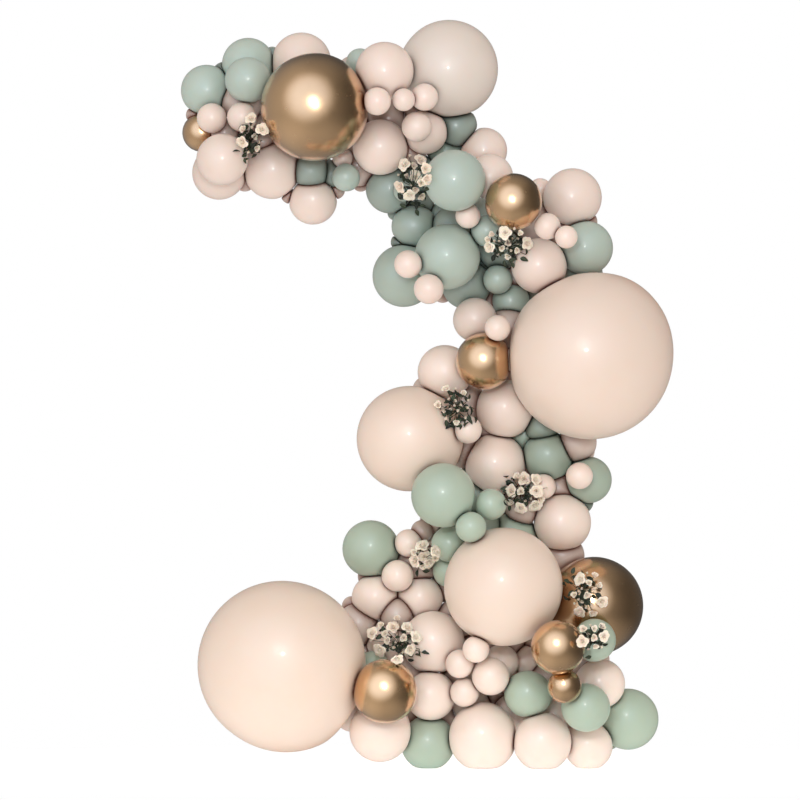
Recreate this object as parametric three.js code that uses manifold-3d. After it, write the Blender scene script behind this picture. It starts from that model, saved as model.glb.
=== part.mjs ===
// A balloon garland that hangs on a wall: a hook of latex and metallic balloons pressed against each
// other, with a short arm at the top, a slim waist and a wide foot that reaches the floor.
//
// Millimetres. X runs to the right as seen from the front, Y runs into the wall and Z runs up. The
// origin is the middle of the flat that the wall presses into the back of the big shoulder balloon,
// which the garland hangs from. Each balloon is a sealed skin, so it is one solid: a round crown, a
// taper, a neck and its knot.
import * as THREE from "three";
import { mergeVertices } from "three/addons/utils/BufferGeometryUtils.js";
import Module from "manifold-3d";

const WALL_Y = 0; // the wall's face
const FLOOR_Z = -2455; // the floor, below the origin
const BLOCK = 6000; // side of the blocks that stand for the wall and the floor in cuts
const PRESS = 0.05; // share of two balloons' summed radii that is lost where they press together
const FLAT_PRESS = 0.08; // share of its radius that a balloon loses against the wall or the floor
const STANDING_REACH = 15; // a balloon laid this close above the floor stands on it
const SKIN_GAP = 0.6; // left between two skins that press together

const HELD_ROUNDS = 500; // rounds of pulling tight in which the balloons are held near their places
const FREE_ROUNDS = 200;
const HOLD = 0.2; // share of the way back to its place, sideways, that a held balloon goes in a round
const HOLD_OUT = 0.006; // the same for its distance from the wall
const ON_THE_HOOK = "sand_shoulder_big";

const TAPER_START = THREE.MathUtils.degToRad(104); // angle from the crown where the round part ends
const TAPER = 0.17; // how much longer than its radius a balloon is towards the neck
const NECK_RADIUS = 0.055; // shares of the balloon's radius
const NECK_LENGTH = 0.1;
const KNOT_RADIUS = 0.085;
const BIG = 300; // a balloon at least this wide has a finer surface and a shorter, thinner neck
const BIG_NECK = 0.55; // how big its neck and knot are next to those of a small one blown up as far
const NECK_ROOM = 2; // the least clear distance from a knot to the next skin
const NEARBY = 450; // balloons within this distance draw a neck towards them
const WALL_SHARE = 1; // how strongly the wall draws it
const COVER = 0.92; // share of a balloon's radius that hides what is behind it
const SHOWING = 5; // how strongly a place in sight puts a neck off
const WAYS_TRIED = 900;

const COLOURS = {
  sage: { color: 0xa9c0b0, roughness: 0.35, metalness: 0 },
  blush: { color: 0xedd6cb, roughness: 0.35, metalness: 0 },
  peach: { color: 0xf2dccb, roughness: 0.35, metalness: 0 },
  sand: { color: 0xdccfc4, roughness: 0.35, metalness: 0 },
  gold: { color: 0xb98c58, roughness: 0.22, metalness: 1 },
};

// The hanging plan. In each stretch the balloons are listed from the wall outwards, in the order in
// which they are tied on: name, colour, diameter, distance across, distance up and, for a few, how
// far the middle is held out from the wall.
const PLAN = {
  arm: [
    ["sage_tip_top", "sage", 185, -700, 25],
    ["sage_tip_left", "sage", 180, -860, -60],
    ["gold_tip", "gold", 135, -895, -225],
    ["blush_tip_back", "blush", 190, -835, -380],
    ["blush_arm_top", "blush", 210, -515, 25],
    ["blush_arm_hanging", "blush", 170, -465, -470],
    ["sage_tip_front", "sage", 160, -705, -40],
    ["blush_arm_middle", "blush", 205, -600, -345],
    ["blush_tip_front", "blush", 180, -795, -320],
  ],
  shoulder: [
    ["sand_shoulder_big", "sand", 345, 0, 0],
    ["sage_shoulder_back", "sage", 145, -10, -280],
    ["blush_shoulder_back", "blush", 160, 125, -285],
    ["blush_shoulder_right", "blush", 160, 145, -380],
    ["sage_shoulder_low", "sage", 170, -215, -410],
    ["blush_shoulder_inner", "blush", 155, -80, -235],
    ["blush_shoulder_top", "blush", 205, -205, 5],
    ["blush_shoulder_left", "blush", 195, -245, -275],
    ["gold_arm_big", "gold", 378, -475, -140],
    ["sage_shoulder_front", "sage", 215, 20, -395],
  ],
  bend: [
    ["sage_bend_right", "sage", 190, 490, -625],
    ["blush_bend_right", "blush", 205, 435, -450],
    ["sage_bend_left", "sage", 155, -110, -555],
    ["sage_bend_back", "sage", 220, -160, -730],
    ["sage_bend_low", "sage", 175, 60, -750],
    ["blush_bend_low", "blush", 155, 92, -880, 200],
    ["blush_bend_middle", "blush", 195, 300, -680, 200],
    ["gold_bend", "gold", 200, 225, -470],
    ["sage_bend_front", "sage", 230, -5, -660],
  ],
  waist: [
    ["sage_waist_right", "sage", 165, 530, -1430],
    ["blush_waist_back", "blush", 190, -5, -1045],
    ["peach_waist_big", "peach", 370, -140, -1300],
    ["sage_waist_low", "sage", 175, 225, -1645],
    ["sage_waist_middle", "sage", 180, 355, -1345],
    ["blush_waist_front", "blush", 215, 150, -1395],
    ["blush_waist_middle", "blush", 205, 195, -1190],
    ["peach_waist_giant", "peach", 580, 495, -1010],
    ["gold_waist", "gold", 200, 105, -1030],
    ["blush_waist_right", "blush", 205, 390, -1605],
    ["sage_waist_front", "sage", 225, -20, -1495],
    ["sage_waist_left", "sage", 200, -275, -1675],
  ],
  foot: [
    ["sage_foot_right", "sage", 215, 630, -2285],
    ["gold_foot_big", "gold", 345, 510, -1885],
    ["sage_foot_posy", "sage", 150, 505, -2000],
    ["blush_foot_right", "blush", 175, 530, -2155],
    ["blush_foot_low_right", "blush", 170, 490, -2375],
    ["sage_foot_low", "sage", 190, -65, -2365],
    ["blush_foot_low_left", "blush", 215, -247, -2325, 215],
    ["peach_foot_giant", "peach", 590, -585, -2090],
    ["blush_foot_left", "blush", 165, -260, -1875],
    ["blush_foot_upper", "blush", 165, -100, -1860],
    ["blush_foot_low_middle", "blush", 205, 335, -2340],
    ["blush_foot_low_inner", "blush", 240, 115, -2330],
    ["sage_foot_middle", "sage", 165, 272, -2180, 235],
    ["sage_foot_low_right", "sage", 170, 480, -2240],
    ["blush_foot_inner", "blush", 175, -65, -2210],
    ["blush_foot_front", "blush", 220, -55, -2010],
    ["gold_foot_left", "gold", 225, -230, -2175],
    ["peach_foot_big", "peach", 415, 190, -1815],
    ["gold_foot_front", "gold", 190, 380, -2020],
    ["gold_foot_small", "gold", 120, 400, -2170],
  ],
};

// The width of the gap between two balloons, below 0 where they press deeper than they should.
function gapBetween(one, other) {
  return one.centre.distanceTo(other.centre) - (one.radius + other.radius) * (1 - PRESS);
}

// Lays the planned balloons one after another, each as far back as the wall and the ones already
// there let it go.
function lay(plan) {
  const laid = [];
  for (const [stretch, rows] of Object.entries(plan)) {
    for (const [name, colour, diameter, across, up, out = 0] of rows) {
      const radius = diameter / 2;
      const stands = up - radius < FLOOR_Z + STANDING_REACH;
      const nearest = radius * (1 - FLAT_PRESS);
      const centre = new THREE.Vector3(across, WALL_Y - Math.max(out, nearest), up);
      if (stands) centre.z = FLOOR_Z + nearest;
      for (const other of laid) {
        const reach = (radius + other.radius) * (1 - PRESS);
        const apart = Math.hypot(centre.x - other.centre.x, centre.z - other.centre.z);
        if (apart < reach)
          centre.y = Math.min(centre.y, other.centre.y - Math.sqrt(reach ** 2 - apart ** 2));
      }
      laid.push({ name, stretch, colour, radius, stands, centre });
    }
  }
  return laid;
}

// The ties of the garland: the shortest set of pairs that holds all the balloons together.
function chooseTies(laid) {
  const ties = [];
  const tied = [laid[0]];
  const loose = laid.slice(1);
  while (loose.length > 0) {
    let best = { gap: Infinity };
    for (const one of tied)
      for (const other of loose) {
        const gap = gapBetween(one, other);
        if (gap < best.gap) best = { one, other, gap };
      }
    ties.push(best);
    tied.push(best.other);
    loose.splice(loose.indexOf(best.other), 1);
  }
  return ties;
}

// Moves two balloons towards each other, or apart if the distance is negative. The smaller one
// gives way more.
function bring(one, other, distance) {
  const way = other.centre.clone().sub(one.centre).normalize();
  const weight = one.radius ** 3;
  const otherWeight = other.radius ** 3;
  one.centre.addScaledVector(way, (distance * otherWeight) / (weight + otherWeight));
  other.centre.addScaledVector(way, (-distance * weight) / (weight + otherWeight));
}

// Keeps a balloon off the wall and the floor, and one that stands stays on the floor.
function keepOff(balloon) {
  const { centre, stands } = balloon;
  const rest = balloon.radius * (1 - FLAT_PRESS);
  centre.y = Math.min(centre.y, WALL_Y - rest);
  centre.z = stands ? FLOOR_Z + rest : Math.max(centre.z, FLOOR_Z + rest);
}

// Takes a centre some of the way back to its place: mostly sideways and up or down, so that the
// balloons find room by moving in or out.
function hold(centre, place) {
  centre.x += (place.x - centre.x) * HOLD;
  centre.y += (place.y - centre.y) * HOLD_OUT;
  centre.z += (place.z - centre.z) * HOLD;
}

// Pulls the ties tight, pushes the balloons off whatever they would press too deep, and holds each
// near the place where it was laid until the last rounds. The one on the hook stays where it is.
function pullTight(laid) {
  const ties = chooseTies(laid);
  const places = laid.map((balloon) => balloon.centre.clone());
  const hooked = laid.find((balloon) => balloon.name === ON_THE_HOOK);
  for (let round = 0; round < HELD_ROUNDS + FREE_ROUNDS; round++) {
    if (round < HELD_ROUNDS) laid.forEach((balloon, i) => hold(balloon.centre, places[i]));
    for (const { one, other } of ties) bring(one, other, gapBetween(one, other));
    laid.forEach((one, i) => {
      for (const other of laid.slice(i + 1))
        bring(one, other, Math.min(0, gapBetween(one, other)));
      keepOff(one);
    });
    hooked.centre.copy(places[laid.indexOf(hooked)]);
  }
}

// How big a balloon's neck and knot are next to the usual shares of its radius.
function neckSize(radius) {
  return 2 * radius < BIG ? 1 : BIG_NECK;
}

// How far the end of a balloon's knot is from its centre.
function knotEnd(radius) {
  return radius * (1 + TAPER + (NECK_LENGTH + KNOT_RADIUS) * neckSize(radius));
}

// The planes that hold a balloon in, as outward normals with their distances from its centre: one
// for each neighbour, halfway through the stretch where the two press together.
function pressingPlanes(balloon, laid) {
  return laid
    .filter((other) => other !== balloon)
    .map((other) => {
      const normal = other.centre.clone().sub(balloon.centre);
      const apart = normal.length();
      const share = (apart ** 2 + balloon.radius ** 2 - other.radius ** 2) / (2 * apart);
      return { normal: normal.divideScalar(apart), distance: share - SKIN_GAP / 2 };
    })
    .filter((plane) => plane.distance < knotEnd(balloon.radius));
}

// Evenly spread directions, on a spiral from pole to pole.
function directions(count) {
  const golden = Math.PI * (3 - Math.sqrt(5));
  return Array.from({ length: count }, (_, i) => {
    const y = 1 - (2 * i + 1) / count;
    const across = Math.sqrt(1 - y * y);
    return new THREE.Vector3(across * Math.cos(golden * i), y, across * Math.sin(golden * i));
  });
}

// How much room a neck that points that way has before the wall, the floor or a neighbour.
function roomForNeck(balloon, way, planes) {
  const { radius } = balloon;
  const knot = radius * KNOT_RADIUS * neckSize(radius);
  let room = Infinity;
  for (const reach of [radius, radius * (1 + TAPER), knotEnd(radius)]) {
    const point = way.clone().multiplyScalar(reach);
    room = Math.min(room, WALL_Y - balloon.centre.y - point.y - knot);
    room = Math.min(room, balloon.centre.z + point.z - FLOOR_Z - knot);
    for (const { normal, distance } of planes)
      room = Math.min(room, distance - point.dot(normal) - knot);
  }
  return room;
}

// How far a knot would show from the front: past its own balloon's edge and the edges of any others
// that it is behind.
function knotShows(balloon, way, laid) {
  const knot = balloon.centre.clone().addScaledVector(way, knotEnd(balloon.radius));
  let showing = Infinity;
  for (const { centre, radius } of laid) {
    if (centre.y > knot.y) continue;
    const aside = Math.hypot(knot.x - centre.x, knot.z - centre.z);
    showing = Math.min(showing, Math.max(0, aside - radius * COVER));
  }
  return showing;
}

// Necks are tied inwards, towards the neighbours and the wall, where there is room for the knot and
// where it is out of sight if it can be.
function neckWay(balloon, laid, planes) {
  const inwards = new THREE.Vector3(0, WALL_SHARE, 0);
  for (const other of laid) {
    const towards = other.centre.clone().sub(balloon.centre);
    const apart = towards.length();
    if (apart > 0 && apart < NEARBY)
      inwards.addScaledVector(towards, other.radius / apart ** 2);
  }
  inwards.normalize();
  let best = { score: -Infinity };
  for (const way of directions(WAYS_TRIED)) {
    const shortOfRoom = Math.max(0, NECK_ROOM - roomForNeck(balloon, way, planes));
    const showing = knotShows(balloon, way, laid) / balloon.radius;
    const score = way.dot(inwards) - shortOfRoom - showing * SHOWING;
    if (score > best.score) best = { way, score };
  }
  return best.way;
}

// Half the outline of a balloon, from the end of its knot up to its crown.
function outline(radius, rings) {
  const size = neckSize(radius);
  const knot = radius * KNOT_RADIUS * size;
  const neckBottom = knotEnd(radius) - knot;
  const points = [new THREE.Vector2(0, -neckBottom - knot)];
  points.push(new THREE.Vector2(knot, -neckBottom));
  points.push(new THREE.Vector2(radius * NECK_RADIUS * size, -radius * (1 + TAPER)));
  for (let ring = rings; ring > 0; ring--) {
    const angle = (ring / rings) * THREE.MathUtils.degToRad(158);
    const beyond = THREE.MathUtils.smoothstep(angle, TAPER_START, Math.PI);
    const reach = radius * (1 + 0.6 * TAPER * beyond);
    points.push(new THREE.Vector2(reach * Math.sin(angle), reach * Math.cos(angle)));
  }
  points.push(new THREE.Vector2(0, radius));
  return points;
}

// A closed geometry whose shared vertices are merged.
function welded(geometry) {
  geometry.deleteAttribute("normal");
  geometry.deleteAttribute("uv");
  return mergeVertices(geometry, 1e-3);
}

const wasm = await Module();
wasm.setup();

function toSolid(geometry) {
  return new wasm.Manifold(
    new wasm.Mesh({
      numProp: 3,
      vertProperties: geometry.attributes.position.array,
      triVerts: new Uint32Array(geometry.index.array),
    }),
  );
}

function toGeometry(solid) {
  const mesh = solid.getMesh();
  return new THREE.BufferGeometry()
    .setAttribute("position", new THREE.BufferAttribute(mesh.vertProperties, 3))
    .setIndex(new THREE.BufferAttribute(mesh.triVerts, 1));
}

// A block that fills the wall or the floor, as seen from a placed balloon.
function blockAt(centre, placed) {
  const block = welded(new THREE.BoxGeometry(BLOCK, BLOCK, BLOCK));
  block.translate(centre.x, centre.y, centre.z);
  return toSolid(block.applyMatrix4(placed.matrixWorld.clone().invert()));
}

// The skin goes flat against each neighbour: what would cross a pressing plane is drawn in to it.
function pressFlat(geometry, planes) {
  const positions = geometry.attributes.position;
  const point = new THREE.Vector3();
  for (let i = 0; i < positions.count; i++) {
    point.fromBufferAttribute(positions, i);
    for (const { normal, distance } of planes) {
      const along = point.dot(normal);
      if (along > distance) point.multiplyScalar(distance / along);
    }
    positions.setXYZ(i, point.x, point.y, point.z);
  }
}

function balloonMesh(balloon, laid) {
  const { name, colour, radius, centre } = balloon;
  const planes = pressingPlanes(balloon, laid);
  const [rings, around] = 2 * radius < BIG ? [5, 10] : [8, 16];
  const geometry = welded(new THREE.LatheGeometry(outline(radius, rings), around));
  const mesh = new THREE.Mesh(geometry, new THREE.MeshStandardMaterial(COLOURS[colour]));
  mesh.name = name;
  mesh.position.copy(centre);
  const down = new THREE.Vector3(0, -1, 0);
  mesh.quaternion.setFromUnitVectors(down, neckWay(balloon, laid, planes));
  mesh.updateMatrixWorld(true);

  const turnedBack = mesh.quaternion.clone().invert();
  for (const { normal } of planes) normal.applyQuaternion(turnedBack);
  pressFlat(geometry, planes);

  // Against the wall and the floor it is cut truly flat.
  let solid = toSolid(geometry);
  const reach = radius * (1 + TAPER);
  if (centre.y + reach > WALL_Y) {
    const wall = new THREE.Vector3(0, WALL_Y + BLOCK / 2, FLOOR_Z / 2);
    solid = solid.subtract(blockAt(wall, mesh));
  }
  if (centre.z - reach < FLOOR_Z) {
    const floor = new THREE.Vector3(0, 0, FLOOR_Z - BLOCK / 2);
    solid = solid.subtract(blockAt(floor, mesh));
  }
  mesh.geometry = toGeometry(solid);
  return mesh;
}

const garland = new THREE.Group();
garland.name = "balloon_garland";
const balloons = lay(PLAN);
pullTight(balloons);
for (const name of Object.keys(PLAN)) {
  const stretch = new THREE.Group();
  stretch.name = name;
  for (const balloon of balloons)
    if (balloon.stretch === name) stretch.add(balloonMesh(balloon, balloons));
  garland.add(stretch);
}

export default garland;
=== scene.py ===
"""A balloon garland in its finished look: latex and chrome-finish balloons pressed together on a
wall, small balloons tied in between, and sprigs of cloth roses and leaves.

Metres. +X runs to the right, +Y into the wall and +Z up, as in the solid model that it dresses.
"""

import math
import random
from dataclasses import dataclass

import bpy
import numpy as np
from mathutils import Matrix, Quaternion, Vector
from mathutils.kdtree import KDTree


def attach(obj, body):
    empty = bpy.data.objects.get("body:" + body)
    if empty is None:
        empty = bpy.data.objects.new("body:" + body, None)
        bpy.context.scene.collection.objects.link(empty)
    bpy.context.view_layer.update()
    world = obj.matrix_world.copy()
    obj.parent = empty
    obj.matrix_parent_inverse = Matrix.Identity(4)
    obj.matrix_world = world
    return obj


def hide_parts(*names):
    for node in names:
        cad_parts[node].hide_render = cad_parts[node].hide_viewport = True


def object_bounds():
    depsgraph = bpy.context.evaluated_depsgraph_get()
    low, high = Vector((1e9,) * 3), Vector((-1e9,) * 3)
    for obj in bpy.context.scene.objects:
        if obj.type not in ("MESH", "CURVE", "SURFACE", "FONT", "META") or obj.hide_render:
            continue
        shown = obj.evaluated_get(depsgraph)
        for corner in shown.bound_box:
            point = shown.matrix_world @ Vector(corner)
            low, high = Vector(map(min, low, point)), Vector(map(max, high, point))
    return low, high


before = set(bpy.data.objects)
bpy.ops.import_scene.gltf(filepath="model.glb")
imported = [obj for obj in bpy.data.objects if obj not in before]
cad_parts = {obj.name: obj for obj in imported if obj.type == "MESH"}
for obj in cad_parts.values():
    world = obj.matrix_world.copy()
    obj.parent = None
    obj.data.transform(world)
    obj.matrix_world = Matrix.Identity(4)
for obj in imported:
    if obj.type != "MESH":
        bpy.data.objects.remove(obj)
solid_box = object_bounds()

MM = 0.001
WALL_Y = 0.0
FLOOR_Z = solid_box[0].z

# Proportions of a balloon, as shares of its radius. They are the solid model's.
TAPER = 0.17
NECK_RADIUS = 0.055
NECK_LENGTH = 0.1
KNOT_RADIUS = 0.085
KNOT_END = 1 + TAPER + NECK_LENGTH + KNOT_RADIUS
BIG = 300 * MM  # a balloon at least this wide has a shorter, thinner neck
BIG_NECK = 0.55  # how big its neck and knot are next to those of a small one blown up as far

PRESS = 0.05  # share of two balloons' summed radii that is lost where they press together
FLAT_PRESS = 0.08  # share of its radius that a balloon loses against the wall or the floor
SKIN_GAP = 0.4 * MM
PRESSED_EDGE = 0.075  # how softly a skin turns into a pressed flat, as a share of its radius

NOOK = 5 * MM  # how far from where two skins meet the painted shade between them reaches

OUTLINE = 36 * MM  # a notch between balloons narrower than twice this is stuffed
GAP_GRID = 8 * MM
SLIT = 6 * MM  # how deep under the edge of a balloon one may still see through beside it
BARE = 3 * MM  # the same, beside a notch
HOLE_WORTH, NOTCH_WORTH, OUTSIDE_WORTH = 3.0, 0.5, -4.0  # what it is worth to cover such a spot
LEAST_WORTH = 3  # what a stuffed balloon must cover
MOST_STUFFED = 120
STUFFED_DEPTHS = (24, 34, 46, 58, 70, 85, 100, 118)  # millimetres off the wall
STUFFED_RADIUS = (15 * MM, 76 * MM)
STUFFED_HOLD = 2 * MM  # how deep a stuffed balloon is held by another, at least
STUFFED_PRESS = 0.3  # stuffed balloons are pressed harder
STUFFED_NOOK = 16 * MM  # and lie deeper in painted shade
# stuffed balloons are painted darker all over, as painted shade deep inside the garland
STUFFED_SHADE_TONE = 0.8


# ---------------------------------------------------------------------------------------------
# Nodes


class Value:
    """One output of a node. Arithmetic on it adds the Math nodes that work it out."""

    def __init__(self, nodes, socket):
        self.nodes = nodes
        self.socket = socket

    def math(self, operation, *others):
        return self.nodes.math(operation, self, *others)

    def __add__(self, other):
        return self.math("ADD", other)

    __radd__ = __add__

    def __sub__(self, other):
        return self.math("SUBTRACT", other)

    def __rsub__(self, other):
        return self.nodes.math("SUBTRACT", other, self)

    def __mul__(self, other):
        return self.math("MULTIPLY", other)

    __rmul__ = __mul__

    def __truediv__(self, other):
        return self.math("DIVIDE", other)

    def __pow__(self, other):
        return self.math("POWER", other)


class Nodes:
    """The nodes of one tree."""

    def __init__(self, tree):
        self.tree = tree

    def add(self, kind, settings=None, sockets=None, output=0):
        """Adds a node, its settings first and then its sockets' values or links. Gives one output."""
        node = self.tree.nodes.new(kind)
        for name, value in (settings or {}).items():
            if name == "points":
                set_points(node.mapping, value)
            else:
                setattr(node, name, value)
        for name, value in (sockets or {}).items():
            if isinstance(value, Value):
                self.tree.links.new(value.socket, node.inputs[name])
            else:
                node.inputs[name].default_value = value
        return Value(self, node.outputs[output]) if node.outputs else node

    def math(self, operation, *operands):
        return self.add("ShaderNodeMath", {"operation": operation}, dict(enumerate(operands)))

    def xyz(self, x, y, z):
        return self.add("ShaderNodeCombineXYZ", None, {"X": x, "Y": y, "Z": z})

    def position(self, axis):
        """One coordinate of the point that a field is worked out at."""
        place = self.add("GeometryNodeInputPosition")
        return self.sibling(self.add("ShaderNodeSeparateXYZ", None, {0: place}), axis)

    def store(self, geometry, name, value):
        """Keeps a number with each point of a geometry, under a name."""
        settings = {"data_type": "FLOAT", "domain": "POINT"}
        sockets = {"Geometry": geometry, "Name": name, "Value": value}
        return self.add("GeometryNodeStoreNamedAttribute", settings, sockets)

    def read(self, name, kind="FLOAT"):
        """Something kept with each point."""
        return self.add("GeometryNodeInputNamedAttribute", {"data_type": kind}, {"Name": name})

    def kept(self, name):
        """A number kept with each point of the mesh that a material is on."""
        return self.add("ShaderNodeAttribute", {"attribute_name": name}, None, "Fac")

    def group(self, tree, values):
        """Another tree, used in this one."""
        return self.add("GeometryNodeGroup", {"node_tree": tree}, values)

    def join(self, geometries):
        node = self.tree.nodes.new("GeometryNodeJoinGeometry")
        for geometry in geometries:
            self.tree.links.new(geometry.socket, node.inputs[0])
        return Value(self, node.outputs[0])

    def set_on_points(self, points, shape, chosen):
        """Copies of a shape on the chosen points, turned and sized as each point says."""
        facing = self.read("facing", "FLOAT_VECTOR")
        sockets = {
            "Points": points,
            "Selection": chosen,
            "Instance": shape,
            "Rotation": self.add("FunctionNodeEulerToRotation", None, {"Euler": facing}),
            "Scale": self.read("size"),
        }
        return self.add("GeometryNodeInstanceOnPoints", None, sockets)

    def sibling(self, value, name):
        """Another output of the node that a value comes from."""
        return Value(self, value.socket.node.outputs[name])

    def smooth_step(self, value, start, end):
        """0 before start, 1 after end and smooth in between."""
        return self.add(
            "ShaderNodeMapRange",
            {"interpolation_type": "SMOOTHSTEP"},
            {"Value": value, "From Min": start, "From Max": end},
        )

    def mix(self, factor, one, other, blend="MIX"):
        """A colour between two, by a factor."""
        settings = {"data_type": "RGBA", "blend_type": blend}
        return self.add("ShaderNodeMix", settings, {0: factor, 6: one, 7: other}, output=2)

    def noise(self, place, scale, detail=2.0, roughness=0.5):
        """Smooth noise from 0 to 1, with bumps about 1 / scale across."""
        sockets = {"Vector": place, "Scale": scale, "Detail": detail, "Roughness": roughness}
        return self.add("ShaderNodeTexNoise", {"noise_dimensions": "3D"}, sockets)


def set_points(mapping, points):
    """Gives a curve node its points."""
    curve = mapping.curves[0]
    while len(curve.points) < len(points):
        curve.points.new(1.0, 1.0)
    for point, place in zip(curve.points, points):
        point.location = place
    mapping.update()


def geometry_tree(name, inputs):
    """A new Geometry Nodes tree: its nodes, and the values of its named inputs."""
    tree = bpy.data.node_groups.new(name, "GeometryNodeTree")
    tree.interface.new_socket("Geometry", in_out="OUTPUT", socket_type="NodeSocketGeometry")
    for label, kind in inputs.items():
        tree.interface.new_socket(label, in_out="INPUT", socket_type="NodeSocket" + kind)
    nodes = Nodes(tree)
    entry = tree.nodes.new("NodeGroupInput")
    return nodes, {label: Value(nodes, entry.outputs[label]) for label in inputs}


def end_tree(nodes, geometry, material):
    """Makes instances real, gives them their material and ends the tree."""
    real = nodes.add("GeometryNodeRealizeInstances", None, {"Geometry": geometry})
    dressed = nodes.add("GeometryNodeSetMaterial", None, {"Geometry": real, "Material": material})
    nodes.add("NodeGroupOutput", None, {"Geometry": dressed})
    return nodes.tree


def grow(tree, values, start=None):
    """Runs a tree, on a start mesh if there is one, and gives the plain mesh that it makes."""
    carrier = bpy.data.objects.new(tree.name, start or bpy.data.meshes.new(tree.name))
    bpy.context.scene.collection.objects.link(carrier)
    modifier = carrier.modifiers.new(tree.name, "NODES")
    modifier.node_group = tree
    for item in tree.interface.items_tree:
        if item.in_out == "INPUT" and item.name in values:
            modifier[item.identifier] = values[item.name]
    graph = bpy.context.evaluated_depsgraph_get()
    mesh = bpy.data.meshes.new_from_object(
        carrier.evaluated_get(graph), preserve_all_data_layers=True, depsgraph=graph
    )
    bpy.data.objects.remove(carrier)
    return mesh


# ---------------------------------------------------------------------------------------------
# Materials


def new_material(name):
    material = bpy.data.materials.new(name)
    material.use_nodes = True
    material.node_tree.nodes.clear()
    return material, Nodes(material.node_tree)


def end_material(nodes, sockets):
    surface = nodes.add("ShaderNodeBsdfPrincipled", None, sockets)
    nodes.add("ShaderNodeOutputMaterial", None, {"Surface": surface})


def object_place(nodes):
    return nodes.add("ShaderNodeTexCoord", None, None, "Object")


def toned_and_shaded(nodes, colour):
    """A colour made lighter or darker by its balloon's tone, which holds random tone and painted light and
    shade.
    """
    tone = nodes.kept("tone")
    grey = nodes.add("ShaderNodeCombineColor", None, {"Red": tone, "Green": tone, "Blue": tone})
    return nodes.mix(1.0, colour, grey, "MULTIPLY")


def bumped(nodes, height, strength, distance):
    """The normal of a surface that a height makes uneven."""
    sockets = {"Strength": strength, "Distance": distance, "Height": height}
    return nodes.add("ShaderNodeBump", None, sockets)


def latex(name, colour, low_colour, deep, painted_nook_shade):
    """Satin latex: paler low on the garland, deeper where the skin is less stretched, with painted shade
    where it meets other balloons.
    """
    material, nodes = new_material(name)
    place = object_place(nodes)
    height = nodes.sibling(nodes.add("ShaderNodeSeparateXYZ", None, {"Vector": place}), "Z")
    low = nodes.smooth_step(height * -1, 0.3, 1.9)
    blend = nodes.mix(low, colour, low_colour)

    stretch = nodes.kept("stretch")
    crown = 1 - nodes.smooth_step(stretch, 0.0, 0.1)
    slack = nodes.smooth_step(stretch, 0.6, 0.85)
    cloud = nodes.noise(place, 7.0, 3.0)
    depth = crown * 0.05 + slack * 0.45 + (cloud - 0.5) * 0.24
    skin = nodes.mix(depth.math("MAXIMUM", 0.0), blend, deep)
    # painted shade: the skin darkens in the nooks where it meets another balloon
    shaded = toned_and_shaded(nodes, nodes.mix(nodes.kept("nook") * 0.9, skin, painted_nook_shade))

    bloom = nodes.noise(place, 24.0, 4.0, 0.6)
    grain = nodes.noise(place, 900.0, 2.0)
    swell = nodes.noise(place, 9.0, 1.0)
    bump = bumped(nodes, swell + grain * 0.02, 0.5, 1.2 * MM)
    end_material(
        nodes,
        {
            "Base Color": shaded,
            "Roughness": bloom * 0.14 + 0.33,
            "Normal": bump,
            "Subsurface Weight": 0.35,
            "Subsurface Radius": (1.0, 0.45, 0.3),
            "Subsurface Scale": 0.03,
            "Coat Weight": 0.25,
            "Coat Roughness": 0.12,
        },
    )
    return material


def chrome_gold(name, colour, deep):
    """Chrome-finish latex: a soft warm mirror, a little cloudy, browner towards its neck."""
    material, nodes = new_material(name)
    place = object_place(nodes)
    stretch = nodes.kept("stretch")
    slack = nodes.smooth_step(stretch, 0.55, 0.85)
    cloud = nodes.noise(place, 11.0, 4.0, 0.6)
    skin = nodes.mix((slack * 0.8 + (cloud - 0.5) * 0.4).math("MAXIMUM", 0.0), colour, deep)
    # the balloon's tone, with its painted light and shade
    shaded = toned_and_shaded(nodes, skin)
    haze = nodes.noise(place, 38.0, 3.0)
    ripple = nodes.noise(place, 14.0, 2.0)
    grain = nodes.noise(place, 700.0, 2.0)
    bump = bumped(nodes, ripple + grain * 0.02, 0.4, 1.0 * MM)
    end_material(
        nodes,
        {
            "Base Color": shaded,
            "Metallic": 1.0,
            "Roughness": haze * 0.12 + 0.19,
            "Normal": bump,
            "Coat Weight": 1.0,
            "Coat IOR": 1.9,
            "Coat Roughness": 0.2,
        },
    )
    return material


def srgb(red, green, blue):
    """A colour given in 0 to 255 steps, made linear."""
    steps = [value / 255 for value in (red, green, blue)]
    linear = [s / 12.92 if s <= 0.04045 else ((s + 0.055) / 1.055) ** 2.4 for s in steps]
    return (*linear, 1.0)


# Each latex: its colour, its colour low on the garland, its deeper colour where less stretched, and the
# colour of the painted shade in the nooks between balloons.
MATERIALS = {
    "sage": latex(
        "latex_sage",
        srgb(172, 189, 182),
        srgb(169, 187, 171),
        srgb(126, 146, 128),
        srgb(58, 66, 56),
    ),
    "blush": latex(
        "latex_blush",
        srgb(228, 214, 206),
        srgb(236, 222, 212),
        srgb(212, 162, 144),
        srgb(122, 66, 50),
    ),
    "peach": latex(
        "latex_peach",
        srgb(223, 208, 198),
        srgb(227, 211, 198),
        srgb(216, 170, 138),
        srgb(134, 78, 54),
    ),
    "sand": latex(
        "latex_sand",
        srgb(215, 207, 200),
        srgb(215, 207, 200),
        srgb(180, 154, 140),
        srgb(98, 76, 64),
    ),
    "gold": chrome_gold("chrome_gold", srgb(207, 163, 110), srgb(148, 98, 52)),
}


# ---------------------------------------------------------------------------------------------
# Balloons


@dataclass
class Balloon:
    name: str
    colour: str
    radius: float
    centre: np.ndarray
    way: np.ndarray = None  # towards its knot
    node: str = None  # the solid that it stands for
    tone: float = 1.0  # how light it is for its colour, painted shade for a stuffed one included
    nook: float = NOOK


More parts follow.
